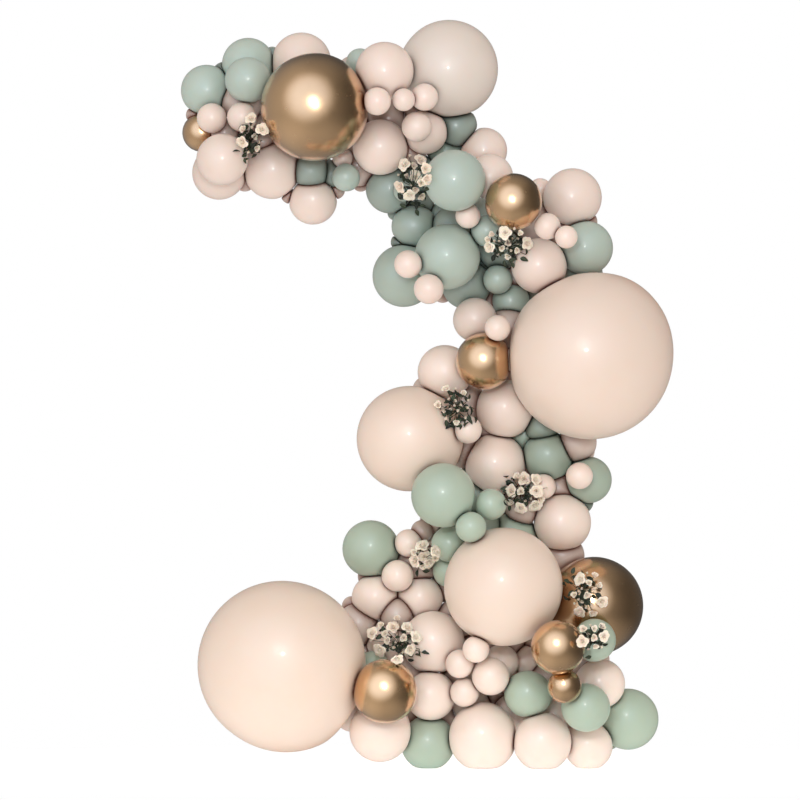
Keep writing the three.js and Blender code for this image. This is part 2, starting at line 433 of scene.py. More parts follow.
def read_solid(node):
    """Where a solid balloon is. Its knot's end is the vertex that is farthest out, and the ring
    beside it lies one knot's radius back on the balloon's axis."""
    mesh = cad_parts[node].data
    points = np.empty(len(mesh.vertices) * 3, np.float32)
    mesh.vertices.foreach_get("co", points)
    points = points.reshape(-1, 3).astype(float)
    middle = (points.min(axis=0) + points.max(axis=0)) / 2
    tip = points[np.argmax(np.linalg.norm(points - middle, axis=1))]
    apart = np.linalg.norm(points - tip, axis=1)
    apart[apart < 0.01 * MM] = np.inf
    ring = np.unique(np.round(points[apart < 1.3 * apart.min()], 6), axis=0)
    axis = tip - ring.mean(axis=0)
    neck = BIG_NECK if np.median(np.ptp(points, axis=0)) > 0.9 * BIG else 1.0
    radius = np.linalg.norm(axis) / (KNOT_RADIUS * neck)
    way = axis / np.linalg.norm(axis)
    centre = tip - way * radius * (1 + TAPER + (NECK_LENGTH + KNOT_RADIUS) * neck)
    return Balloon(node, node.split("_")[0], radius, centre, way, node)


# The small balloons that fill the garland out. Each is tied beside one that the solid model has:
# its host, its colour, its diameter, how far it is to the right of the host's middle and above it,
# in millimetres, and whether it sits in front or behind.
SMALL_BALLOONS = [
    ("sage_tip_left", "blush", 105, 20, -100, "front"),
    ("sage_tip_front", "blush", 105, -20, -130, "front"),
    ("gold_arm_big", "sage", 90, 22, -209, "behind"),
    ("blush_shoulder_left", "sage", 98, -121, -106, "front"),
    ("blush_shoulder_left", "blush", 75, -131, -41, "behind"),
    ("blush_shoulder_top", "sage", 98, -86, 34, "behind"),
    ("blush_shoulder_top", "blush", 98, -26, -108, "front"),
    ("blush_shoulder_top", "blush", 96, 140, -92, "front"),
    ("blush_shoulder_top", "blush", 80, 67, -102, "front"),
    ("blush_shoulder_inner", "blush", 105, -30, 16, "front"),
    ("sage_shoulder_low", "sage", 75, 50, -8, "front"),
    ("gold_bend", "blush", 84, 97, 47, "behind"),
    ("gold_bend", "blush", 93, 118, -85, "front"),
    ("gold_bend", "blush", 80, 184, -123, "front"),
    ("gold_bend", "blush", 88, -159, -48, "behind"),
    ("gold_bend", "sage", 112, -92, -100, "behind"),
    ("sage_bend_left", "sage", 105, 102, 39, "behind"),
    ("sage_bend_back", "blush", 98, 15, 38, "front"),
    ("sage_bend_back", "blush", 105, 87, -49, "front"),
    ("sage_bend_low", "sage", 103, 110, 16, "front"),
    ("sage_bend_low", "sage", 133, 157, -61, "behind"),
    ("blush_bend_low", "blush", 91, 78, -30, "front"),
    ("blush_waist_middle", "blush", 98, -132, -73, "front"),
    ("sage_waist_middle", "sage", 126, -88, 54, "behind"),
    ("sage_waist_middle", "blush", 84, 122, 15, "behind"),
    ("sage_waist_middle", "blush", 94, 108, -69, "front"),
    ("sage_waist_middle", "blush", 88, -18, -107, "front"),
    ("blush_waist_right", "blush", 136, 13, 82, "behind"),
    ("blush_waist_right", "blush", 98, -127, 57, "behind"),
    ("blush_waist_right", "blush", 70, -186, 43, "behind"),
    ("sage_waist_front", "sage", 110, 166, -32, "front"),
    ("sage_waist_front", "sage", 108, 96, -111, "front"),
    ("sage_waist_front", "sage", 126, 21, -172, "behind"),
    ("peach_foot_big", "sage", 119, -187, 53, "behind"),
    ("sage_waist_left", "blush", 91, 218, 100, "behind"),
    ("sage_waist_left", "blush", 98, 132, 20, "front"),
    ("sage_waist_left", "blush", 77, 202, 30, "behind"),
    ("blush_foot_upper", "blush", 112, -78, 81, "front"),
    ("peach_foot_big", "blush", 112, 200, -57, "behind"),
    ("gold_foot_left", "sage", 126, -45, 81, "behind"),
    ("gold_foot_left", "blush", 165, 25, 185, "behind"),
    ("blush_foot_front", "blush", 101, 93, -73, "front"),
    ("blush_foot_inner", "blush", 102, 119, 13, "front"),
    ("blush_foot_front", "blush", 94, 149, -20, "front"),
    ("sage_foot_middle", "blush", 133, -130, 63, "front"),
    ("sage_foot_middle", "blush", 126, -93, 109, "behind"),
    ("sage_foot_middle", "blush", 112, -13, 112, "behind"),
    ("sage_foot_middle", "blush", 150, -200, -40, "behind"),
    ("sage_foot_middle", "blush", 150, -45, -65, "behind"),
    ("sage_foot_middle", "blush", 140, 105, -75, "behind"),
    ("gold_waist", "blush", 115, 92, 25, "behind"),
]


# Painted light and shade: balloons deep in shade behind others are painted darker, those in more light
# lighter.
PAINTED_LIGHT_TONES = {
    "sage_tip_top": 1.06,
    "sage_tip_left": 1.06,
    "sage_tip_front": 1.03,
    "sage_shoulder_back": 0.76,
    "sage_shoulder_low": 0.76,
    "sage_bend_left": 0.88,
    "sage_bend_back": 0.92,
    "sage_bend_low": 0.72,
    "sage_waist_middle": 0.85,
    "sage_waist_right": 0.88,
    "sage_foot_posy": 0.92,
    "blush_tip_back": 0.92,
    "blush_bend_low": 0.9,
    "blush_foot_upper": 1.04,
    "blush_foot_left": 1.03,
    "gold_waist": 1.05,
    "gold_foot_left": 1.12,
    "gold_foot_front": 1.06,
    "gold_foot_small": 1.06,
}


def add_small_balloons(balloons):
    """Lays each small balloon where the plan says: one in front goes as far back as what is there
    lets it, and one behind goes to the wall, or as far forward as what is in front of it lets it."""
    by_name = {balloon.name: balloon for balloon in balloons}
    for number, (host, colour, diameter, across, up, side) in enumerate(SMALL_BALLOONS, 1):
        radius = diameter / 2 * MM
        centre = by_name[host].centre + np.array([across, 0, up]) * MM
        depths = []
        for other in balloons:
            reach = (radius + other.radius) * (1 - PRESS)
            apart = math.hypot(centre[0] - other.centre[0], centre[2] - other.centre[2])
            if apart < reach:
                shift = math.sqrt(reach**2 - apart**2)
                depths.append(other.centre[1] + (shift if side == "behind" else -shift))
        at_wall = WALL_Y - radius * (1 - FLAT_PRESS)
        beside = by_name[host].centre[1]
        if side == "front":
            centre[1] = min([at_wall, beside, *depths])
        else:
            centre[1] = min(at_wall, max([beside, *depths]))
        name = f"{colour}_small_{number:02d}"
        balloons.append(Balloon(name, colour, radius, centre))


def settle(balloons):
    """Lets the small balloons find their places between the others, which stay where they are."""
    centres = np.array([balloon.centre for balloon in balloons])
    radii = np.array([balloon.radius for balloon in balloons])
    loose = np.array([balloon.node is None for balloon in balloons])
    places = centres.copy()
    rounds = 80
    for round_number in range(rounds):
        if round_number < rounds * 0.6:
            centres[loose] += 0.1 * (places[loose] - centres[loose])
        for i in np.flatnonzero(loose):
            towards = centres - centres[i]
            apart = np.linalg.norm(towards, axis=1)
            apart[i] = np.inf
            deep = (radii + radii[i]) * (1 - PRESS) - apart
            for j in np.flatnonzero(deep > 0):
                share = 0.5 if loose[j] else 1.0
                push = towards[j] / apart[j] * deep[j]
                centres[i] -= push * share
                if loose[j]:
                    centres[j] += push * 0.5
            centres[i, 1] = min(centres[i, 1], WALL_Y - radii[i] * (1 - FLAT_PRESS))
            centres[i, 2] = max(centres[i, 2], FLOOR_Z + radii[i] * (1 - FLAT_PRESS))
    for balloon, centre in zip(balloons, centres):
        balloon.centre = centre


def room_beside(places, balloon):
    """The biggest balloon that goes in at each place, pressed against this one."""
    apart = np.linalg.norm(places - balloon.centre, axis=1)
    return apart / (1 - STUFFED_PRESS) - balloon.radius


def clearance(spots, balloon):
    """How far each spot of the front view, given as X and Z, is off a balloon's edge."""
    return np.linalg.norm(spots - balloon.centre[::2], axis=-1) - balloon.radius


def spread(ground):
    """The chosen spots of a grid, and every spot beside one of them."""
    wider = ground.copy()
    wider[1:] |= ground[:-1]
    wider[:-1] |= ground[1:]
    wider[:, 1:] |= ground[:, :-1]
    wider[:, :-1] |= ground[:, 1:]
    return wider


def reached(bare):
    """The bare spots of a grid that one gets to from its edge without crossing a covered one."""
    ground = np.zeros_like(bare)
    ground[0] = ground[-1] = True
    while True:
        wider = spread(ground) & bare | ground
        if (wider == ground).all():
            return ground
        ground = wider


def find_gaps(balloons):
    """A grid of spots over the front view, and what each is worth covering: most in a hole that one
    would see through, less in a narrow notch, and less than nothing just outside."""
    low, high = np.array(solid_box[0])[[0, 2]], np.array(solid_box[1])[[0, 2]]
    margin = 4 * OUTLINE
    lines = [np.arange(low[i] - margin, high[i] + margin, GAP_GRID) for i in (0, 1)]
    spots = np.stack(np.meshgrid(*lines), axis=-1)
    clear = np.min([clearance(spots, balloon) for balloon in balloons], axis=0)
    outside = spread(spread(reached(clear > 0)))
    tree = KDTree(spots.shape[0] * spots.shape[1])
    rim = (clear >= OUTLINE) & (clear < OUTLINE + 3 * GAP_GRID)
    for number, (x, z) in enumerate(spots[rim]):
        tree.insert((x, 0, z), number)
    tree.balance()
    worth = np.where(~outside & (clear > -SLIT), HOLE_WORTH, 0.0)
    for i, j in np.argwhere(outside & (clear > -BARE) & (clear < OUTLINE)):
        x, z = spots[i, j]
        worth[i, j] = NOTCH_WORTH if tree.find((x, 0, z))[2] >= OUTLINE else OUTSIDE_WORTH
    return spots, worth


def stuff_gaps(balloons):
    """Stuffs the gaps with the biggest balloons that go in behind, the most useful one first."""
    spots, worth = find_gaps(balloons)
    cells = np.repeat(np.argwhere(worth > 0), len(STUFFED_DEPTHS), axis=0)
    depths = np.tile(np.array(STUFFED_DEPTHS) * -MM, len(cells) // len(STUFFED_DEPTHS))
    x, z = spots[tuple(cells.T)].T
    tries = np.stack([x, depths, z], axis=1)
    room = np.minimum(-tries[:, 1], tries[:, 2] - FLOOR_Z) / (1 - FLAT_PRESS)
    room = np.minimum(room, STUFFED_RADIUS[1])
    nearest = np.full(len(tries), np.inf)
    for balloon in balloons:
        room = np.minimum(room, room_beside(tries, balloon))
        nearest = np.minimum(nearest, np.linalg.norm(tries - balloon.centre, axis=1) - balloon.radius)
    held = room > nearest + STUFFED_HOLD
    cells, tries, room = cells[held], tries[held], room[held]
    widest = int(STUFFED_RADIUS[1] / GAP_GRID) + 1
    steps = np.stack(np.mgrid[-widest : widest + 1, -widest : widest + 1], axis=-1).reshape(-1, 2)
    apart = np.linalg.norm(steps, axis=1) * GAP_GRID
    for number in range(1, MOST_STUFFED + 1):
        around = worth[cells[:, 0, None] + steps[:, 0], cells[:, 1, None] + steps[:, 1]]
        score = (around * (apart < room[:, None])).sum(axis=1)
        useful = (score > LEAST_WORTH) & (room > STUFFED_RADIUS[0])
        if not useful.any():
            return
        cells, tries, room, score = cells[useful], tries[useful], room[useful], score[useful]
        best = np.argmax(score)
        beside = min(balloons, key=lambda other: clearance(tries[best, ::2], other))
        colour = "sage" if beside.colour == "sage" else "blush"
        name = f"{colour}_stuffed_{number:02d}"
        stuffed = Balloon(name, colour, room[best], tries[best], tone=STUFFED_SHADE_TONE, nook=STUFFED_NOOK)
        balloons.append(stuffed)
        worth[clearance(spots, stuffed) < 0] = 0
        room = np.minimum(room, room_beside(tries, stuffed))


def pressing_planes(balloon, balloons):
    """The planes that hold a balloon in: outward normals and their distances from its middle."""
    normals = [(0, 1, 0), (0, 0, -1)]
    distances = [WALL_Y - balloon.centre[1], balloon.centre[2] - FLOOR_Z]
    for other in balloons:
        if other is balloon:
            continue
        towards = other.centre - balloon.centre
        apart = np.linalg.norm(towards)
        normals.append(towards / apart)
        share = (apart**2 + balloon.radius**2 - other.radius**2) / (2 * apart)
        distances.append(share - SKIN_GAP / 2)
    normals, distances = np.array(normals, float), np.array(distances)
    near = distances < balloon.radius * KNOT_END
    return normals[near], distances[near]


def spiral_ways(count):
    """Evenly spread directions."""
    steps = np.arange(count)
    up = 1 - (2 * steps + 1) / count
    across = np.sqrt(1 - up**2)
    turn = steps * math.pi * (3 - math.sqrt(5))
    return np.stack([across * np.cos(turn), up, across * np.sin(turn)], axis=1)


def point_necks(balloons):
    """Ties the small balloons' necks inwards, where there is room for the knot."""
    ways = spiral_ways(400)
    surroundings = 0.45  # how far off another balloon still draws a neck towards it
    for balloon in balloons:
        if balloon.way is not None:
            continue
        inwards = np.array([0.0, 6.0, 0.0])
        for other in balloons:
            towards = other.centre - balloon.centre
            apart = np.linalg.norm(towards)
            if 0 < apart < surroundings:
                inwards += towards * other.radius / apart**2
        normals, distances = pressing_planes(balloon, balloons)
        reach = balloon.radius * KNOT_END
        room = (distances - reach * ways @ normals.T).min(axis=1)
        score = ways @ (inwards / np.linalg.norm(inwards))
        score = score + np.minimum(0, room) / balloon.radius * 3  # a knot needs room
        score += np.minimum(0, ways[:, 1]) * 2  # and is out of sight from the front
        balloon.way = ways[np.argmax(score)]


BODY_SHARE = 0.8  # share of a balloon's rings that make its body; the rest make its neck and knot
FORMS = ((0.07, 34), (BIG / 2, 52), (0.22, 88), (1.0, 120))  # up to a radius: segments round


def balloon_form_tree():
    """A balloon one unit in radius, crown up: a sphere whose lower part tapers, a neck, a knot and
    a rolled lip."""
    nodes, entry = geometry_tree(
        "balloon form",
        {"Segments": "Int", "Rings": "Int", "Taper": "Float", "Neck": "Float", "Skin": "Material"},
    )
    sphere = nodes.add(
        "GeometryNodeMeshUVSphere",
        None,
        {"Segments": entry["Segments"], "Rings": entry["Rings"], "Radius": 1.0},
    )
    x, y, z = (nodes.position(axis) for axis in "XYZ")
    along = z.math("ARCCOSINE") / math.pi
    axis_distance = (x * x + y * y).math("SQRT").math("MAXIMUM", 1e-6)

    turn = (along / BODY_SHARE).math("MINIMUM", 1.0) * (math.pi - entry["Neck"] * NECK_RADIUS / 1.1)
    tapering = nodes.smooth_step(turn, math.radians(104), math.pi)
    nipple = nodes.smooth_step(turn, math.radians(140), math.radians(177))
    reach = tapering * entry["Taper"] * 0.6 + 1
    drop = entry["Taper"] * 0.4 * nipple
    body_width = reach * turn.math("SINE")
    body_height = reach * turn.math("COSINE") - drop

    down_neck = ((along - BODY_SHARE) / (1 - BODY_SHARE)).math("MAXIMUM", 0.0)
    neck_profile = nodes.add(
        "ShaderNodeFloatCurve",
        {
            "points": [
                (0.0, NECK_RADIUS),
                (0.3, NECK_RADIUS * 0.8),
                (0.5, KNOT_RADIUS),
                (0.66, NECK_RADIUS * 0.9),
                (0.86, KNOT_RADIUS),
                (0.95, KNOT_RADIUS * 0.9),
                (1.0, 0.0),
            ]
        },
        {"Value": down_neck},
    )
    in_neck = down_neck.math("GREATER_THAN", 0.0)
    width = body_width * (1 - in_neck) + neck_profile * entry["Neck"] * in_neck
    height = body_height - down_neck * entry["Neck"] * (NECK_LENGTH + KNOT_RADIUS)
    placed = nodes.xyz(x / axis_distance * width, y / axis_distance * width, height)
    stored = nodes.store(sphere, "stretch", along / BODY_SHARE)
    formed = nodes.add("GeometryNodeSetPosition", None, {"Geometry": stored, "Position": placed})
    smooth = nodes.add("GeometryNodeSetShadeSmooth", None, {"Geometry": formed})
    return end_tree(nodes, smooth, entry["Skin"])


def smooth_least(values, limit, softness):
    """The lesser of values and a limit, with the corner between them rounded off."""
    corner = np.maximum(softness - np.abs(values - limit), 0) / softness
    return np.minimum(values, limit) - corner**2 * softness / 4


def nearness(points, balloon, balloons):
    """How deep in a nook each point of a skin is, for the painted shade there: 1 where it meets another
    balloon, 0 well off.
    """
    near = np.zeros(len(points))
    for other in balloons:
        gap = np.linalg.norm(other.centre - balloon.centre) - other.radius - balloon.radius
        if other is not balloon and gap < 4 * balloon.nook:
            off = np.linalg.norm(points - other.centre, axis=1) - other.radius
            near = np.maximum(near, np.exp(-np.maximum(off, 0) / balloon.nook))
    return near


def keep_with_points(mesh, name, values):
    mesh.attributes.new(name, "FLOAT", "POINT")
    mesh.attributes[name].data.foreach_set("value", values.astype(np.float32))


def dress_balloon(balloon, balloons, form, tone):
    """Makes a balloon's skin: the form, turned and sized, and pressed flat where it touches."""
    mesh = form.copy()
    mesh.name = f"skin_{balloon.name}"
    points = np.empty(len(mesh.vertices) * 3, np.float32)
    mesh.vertices.foreach_get("co", points)
    points = points.reshape(-1, 3).astype(float) * balloon.radius
    turn = Vector((0, 0, -1)).rotation_difference(Vector(balloon.way)).to_matrix()
    points = points @ np.array(turn).T

    softness = balloon.radius * PRESSED_EDGE
    for normal, distance in zip(*pressing_planes(balloon, balloons)):
        out = points @ normal
        crossing = out > distance - softness
        held = smooth_least(out[crossing], distance, softness)
        points[crossing] *= (held / out[crossing])[:, None]
    points += balloon.centre
    mesh.vertices.foreach_set("co", points.astype(np.float32).ravel())
    keep_with_points(mesh, "tone", np.full(len(points), tone))
    # how deep in painted shade each point lies, near the balloons it meets
    keep_with_points(mesh, "nook", nearness(points, balloon, balloons))
    mesh.materials.clear()
    mesh.materials.append(MATERIALS[balloon.colour])
    mesh.update()
    return add_piece(f"balloon_{balloon.name}", mesh, balloon.node)


def add_piece(name, mesh, node=None):
    """Puts a finished mesh in the scene as a piece of the garland."""
    piece = bpy.data.objects.new(name, mesh)
    bpy.context.scene.collection.objects.link(piece)
    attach(piece, "root")
    if node:
        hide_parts(node)
    return piece


def form_for(radius, forms):
    """The form that is fine enough for a balloon of this radius."""
    return next(mesh for limit, mesh in forms if radius < limit)


def dress_balloons():
    balloons = [read_solid(node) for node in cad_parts]
    add_small_balloons(balloons)
    settle(balloons)
    stuff_gaps(balloons)
    point_necks(balloons)
    tree = balloon_form_tree()
    forms = []
    for limit, segments in FORMS:
        values = {
            "Segments": segments,
            "Rings": segments * 7 // 8,
            "Taper": TAPER,
            "Neck": BIG_NECK if limit > BIG / 2 else 1.0,
            "Skin": MATERIALS["sage"],
        }
        forms.append((limit, grow(tree, values)))
    dice = random.Random(7)
    for balloon in balloons:
        # random tone, times the painted light and shade of listed and stuffed balloons
        tone = PAINTED_LIGHT_TONES.get(balloon.name, balloon.tone) * dice.uniform(0.97, 1.02)
        form = form_for(0 if "stuffed" in balloon.name else balloon.radius, forms)
        dress_balloon(balloon, balloons, form, tone)
    return balloons


# ---------------------------------------------------------------------------------------------
# Roses and leaves


CLOTH = 0.03  # thickness of a petal or a leaf, as a share of its size


def thickened(nodes, sheet, thickness):
    """A sheet given a back and edges."""
    face = nodes.add(
        "GeometryNodeExtrudeMesh",
        None,
        {"Mesh": sheet, "Offset Scale": thickness, "Individual": False},
    )
    back = nodes.add("GeometryNodeFlipFaces", None, {"Mesh": sheet})
    both = nodes.join([face, back])
    return nodes.add("GeometryNodeMergeByDistance", None, {"Geometry": both, "Distance": 1e-5})


def rose_tree():
    """A cloth rose one unit in radius that opens upwards: petals wound round its middle, the
    outer ones wider, lower and rolled back."""
    nodes, entry = geometry_tree("rose", {"Petals": "Int", "Openness": "Float", "Cloth": "Material"})
    line = nodes.add("GeometryNodeMeshLine", None, {"Count": entry["Petals"], "Offset": (0, 0, 0)})
    order = nodes.add("GeometryNodeInputIndex")
    line = nodes.store(line, "petal", order / (entry["Petals"] - 1))
    line = nodes.store(line, "wind", order * math.radians(137.5))
    sheet = nodes.add(
        "GeometryNodeMeshGrid",
        None,
        {"Size X": 2.0, "Size Y": 1.0, "Vertices X": 7, "Vertices Y": 5},
    )
    copies = nodes.add("GeometryNodeInstanceOnPoints", None, {"Points": line, "Instance": sheet})
    petals = nodes.add("GeometryNodeRealizeInstances", None, {"Geometry": copies})

    petal, wind, openness = nodes.read("petal"), nodes.read("wind"), entry["Openness"]
    across, along = nodes.position("X"), nodes.position("Y") + 0.5
    up = along * (1 - across * across * 0.32)
    spread = petal * openness
    angle = wind + across * (1.3 - petal * 0.5) * (along * 0.45 + 0.55)
    ruffle = (across * 5 + wind * 3).math("SINE") * up * up * (petal + 0.3) * 0.05
    lip = up**5 * spread * 0.2
    width = petal * 0.24 + 0.03 + up**1.2 * (spread * 0.62 + 0.1) + lip
    height = up * (0.98 - petal * 0.22) - up**4 * spread * 0.4 + ruffle
    placed = nodes.xyz(
        angle.math("COSINE") * width * 0.85, angle.math("SINE") * width * 0.85, height * 0.85 - 0.35
    )
    petals = nodes.store(petals, "rim", up)
    shaped = nodes.add("GeometryNodeSetPosition", None, {"Geometry": petals, "Position": placed})
    smooth = nodes.add("GeometryNodeSetShadeSmooth", None, {"Geometry": thickened(nodes, shaped, CLOTH)})
    return end_tree(nodes, smooth, entry["Cloth"])


def leaf_tree():
    """A leaf one unit long that grows along Y and faces Z: folded on its midrib, with a toothed
    edge and a drooping tip."""
    nodes, entry = geometry_tree("leaf", {"Width": "Float", "Cloth": "Material"})
    sheet = nodes.add(
        "GeometryNodeMeshGrid",
        None,
        {"Size X": 2.0, "Size Y": 1.0, "Vertices X": 5, "Vertices Y": 13},
    )
    across, along = nodes.position("X"), nodes.position("Y") + 0.5
    outline = (along**0.85 * math.pi).math("SINE").math("MAXIMUM", 0.0) ** 0.8
    teeth = (along * 12 * math.pi).math("COSINE") * 0.05 + 1
    half_width = outline * teeth * entry["Width"] + 0.012
    fold = across.math("ABSOLUTE") * half_width * 0.45
    wave = (along * 9 + across * 2).math("SINE") * 0.02
    placed = nodes.xyz(across * half_width, along, fold - along * along * 0.16 + wave)
    sheet = nodes.store(sheet, "across", across.math("ABSOLUTE"))
    sheet = nodes.store(sheet, "along", along)
    shaped = nodes.add("GeometryNodeSetPosition", None, {"Geometry": sheet, "Position": placed})
    smooth = nodes.add("GeometryNodeSetShadeSmooth", None, {"Geometry": thickened(nodes, shaped, CLOTH)})
    return end_tree(nodes, smooth, entry["Cloth"])


ROSE_KINDS = ((19, 0.85), (13, 0.55), (8, 0.15))  # petals and openness: full, half open, bud
FULL, HALF_OPEN, BUD = range(3)


def roses_tree(rose):
    """Sets roses on points, each turned and sized as its point says."""
    nodes, entry = geometry_tree("roses", {"Spots": "Geometry", "Cloth": "Material"})
    sets = []
    for kind, (petals, openness) in enumerate(ROSE_KINDS):
        shape = nodes.group(rose, {"Petals": petals, "Openness": openness, "Cloth": entry["Cloth"]})
        chosen = nodes.read("kind").math("COMPARE", float(kind), 0.5)
        sets.append(nodes.set_on_points(entry["Spots"], shape, chosen))
    return end_tree(nodes, nodes.join(sets), entry["Cloth"])


def greenery_tree(leaf):
    """Leaves set on the loose points, and thin wrapped stems along the edges."""
    nodes, entry = geometry_tree(
        "greenery",
        {"Spots": "Geometry", "Stem Radius": "Float", "Cloth": "Material"},
    )
    shape = nodes.group(leaf, {"Width": 0.3, "Cloth": entry["Cloth"]})
    leaves = nodes.set_on_points(entry["Spots"], shape, nodes.read("kind").math("GREATER_THAN", 0.5))
    lines = nodes.add("GeometryNodeMeshToCurve", None, {"Mesh": entry["Spots"]})
    ring = nodes.add(
        "GeometryNodeCurvePrimitiveCircle", None, {"Resolution": 6, "Radius": entry["Stem Radius"]}
    )
    stems = nodes.add(
        "GeometryNodeCurveToMesh", None, {"Curve": lines, "Profile Curve": ring, "Fill Caps": True}
    )
    stems = nodes.add("GeometryNodeSetShadeSmooth", None, {"Geometry": stems})
    stems = nodes.store(stems, "across", 0.5)  # as dark as a leaf beside its midrib
    return end_tree(nodes, nodes.join([leaves, stems]), entry["Cloth"])


def rose_cream(name):
    """Cream cloth, deeper towards the petals' bases as painted shade in the folds, and paler at the petals'
    rims.
    """
    material, nodes = new_material(name)
    place = object_place(nodes)
    rim = nodes.smooth_step(nodes.kept("rim"), 0.05, 0.8)
    # painted shade: darker deep in the rose, where the petals meet
    fold_shaded = nodes.mix(rim, srgb(230, 202, 172), srgb(248, 240, 226))
    blushed = nodes.mix(nodes.kept("tint") * 0.4, fold_shaded, srgb(240, 216, 200))
    stain = nodes.noise(place, 160.0, 3.0)
    weave = nodes.noise(place, 2600.0, 1.0)
    colour = nodes.mix((stain - 0.5).math("MAXIMUM", 0.0) * 0.8, blushed, srgb(224, 190, 152))
    bump = bumped(nodes, stain + weave * 0.3, 0.5, 0.6 * MM)
    end_material(
        nodes,
        {
            "Base Color": colour,
            "Roughness": weave * 0.2 + 0.6,
            "Normal": bump,
            "Subsurface Weight": 0.15,
            "Subsurface Scale": 0.004,
            "Sheen Weight": 0.2,
        },
    )
    return material


def leaf_green(name):
    """Dark green cloth with paler veins."""
    material, nodes = new_material(name)
    place = object_place(nodes)
    across, along, tint = nodes.kept("across"), nodes.kept("along"), nodes.kept("tint")
    midrib = 1 - nodes.smooth_step(across, 0.03, 0.14)
    ribs = ((along * 70 - across * 9).math("SINE") - 0.75).math("MAXIMUM", 0.0) * 3
    veins = (midrib + ribs * 0.6).math("MINIMUM", 1.0)
    cloud = nodes.noise(place, 90.0, 3.0)
    ground = nodes.mix((tint + cloud - 0.5).math("MINIMUM", 1.0), srgb(13, 19, 14), srgb(52, 64, 44))
    colour = nodes.mix(veins * 0.3, ground, srgb(112, 122, 84))
    bump = bumped(nodes, veins + cloud, 0.6, 0.6 * MM)
    end_material(
        nodes,
        {"Base Color": colour, "Roughness": cloud * 0.2 + 0.55, "Normal": bump},
    )
    return material


# Where the sprigs are tied in: the balloon beside them, how far their middle is to the right of
# its middle and above it, their width and height, how many full roses, half-open ones, buds and
# leaves they have, and in which direction the roses stand out of the leaves, in degrees.
SPRIGS = [
    ("blush_tip_front", 98, 65, 105, 160, 3, 3, 3, 40, 50),
    ("sage_shoulder_front", -145, -20, 135, 215, 7, 5, 3, 36, 90),
    ("gold_bend", -15, -156, 185, 130, 3, 7, 9, 34, 100),
    ("gold_waist", -95, -174, 165, 165, 0, 4, 12, 60, 120),
    ("blush_waist_front", 87, -93, 175, 180, 6, 4, 3, 46, -10),
    ("sage_waist_left", 183, -37, 110, 100, 5, 3, 2, 18, 60),
    ("gold_foot_big", -45, 55, 150, 190, 3, 6, 9, 36, -20),
    ("gold_foot_left", 50, 162, 225, 180, 7, 5, 4, 36, 120),
    ("sage_foot_posy", -5, 0, 118, 130, 2, 5, 5, 26, 90),
]


def front_of(place, clear, balloons):
    """How far forward something round must be, at a place, to lie on the balloons behind it."""
    depth = WALL_Y - clear
    for balloon in balloons:
        reach = balloon.radius + clear
        apart = math.hypot(place[0] - balloon.centre[0], place[2] - balloon.centre[2])
        if apart < reach:
            depth = min(depth, balloon.centre[1] - math.sqrt(reach**2 - apart**2))
    return depth


def rose_turn(forward, roll):
    """Euler angles that open a rose towards forward."""
    up = Vector((0, 0, 1))
    return (up.rotation_difference(forward) @ Quaternion(up, roll)).to_euler()


def leaf_turn(along, facing, roll):
    """Euler angles that lay a leaf along a direction with its face as near to facing as it goes."""
    along = along.normalized()
    face = (facing - along * facing.dot(along)).normalized()
    upright = Matrix((along.cross(face), along, face)).transposed()
    return (Quaternion(along, roll).to_matrix() @ upright).to_euler()


class Spots:
    """Points to set roses or leaves on, and the lines of the stems."""

    def __init__(self):
        self.places = []
        self.edges = []
        self.kinds = []
        self.sizes = []
        self.facings = []
        self.tints = []

    def add(self, place, kind, size, facing, tint):
        self.places.append(tuple(place))
        self.kinds.append(kind)
        self.sizes.append(size)
        self.facings.append(tuple(facing))
        self.tints.append(tint)

    def add_line(self, places):
        for number, place in enumerate(places):
            self.add(place, 0, 0, (0, 0, 0), 0.3)
            if number:
                self.edges.append((len(self.places) - 2, len(self.places) - 1))

    def mesh(self, name):
        mesh = bpy.data.meshes.new(name)
        mesh.from_pydata(self.places, self.edges, [])
        for label, values in (("kind", self.kinds), ("size", self.sizes), ("tint", self.tints)):
            mesh.attributes.new(label, "FLOAT", "POINT").data.foreach_set("value", values)
        facings = mesh.attributes.new("facing", "FLOAT_VECTOR", "POINT")
        facings.data.foreach_set("vector", np.array(self.facings, np.float32).ravel())
        return mesh


def pick_place(dice, taken, room):
    """A place in the unit disc that is as far as can be from the ones taken."""
    best = None
    for _ in range(16):
        turn, out = dice.uniform(0, math.tau), math.sqrt(dice.random())
        spot = (out * math.cos(turn), out * math.sin(turn))
        clear = min((math.dist(spot, other) - space for *other, space in taken), default=9.0)
        if best is None or clear > best[0]:
            best = (clear, spot)
    taken.append((*best[1], room))
    return best[1]


SPRIG_FILL = 0.78  # how far out in its sprig a rose or leaf goes
SPRIG_LEAN = 0.28  # how far the roses stand to one side, as shares of the sprig's half size


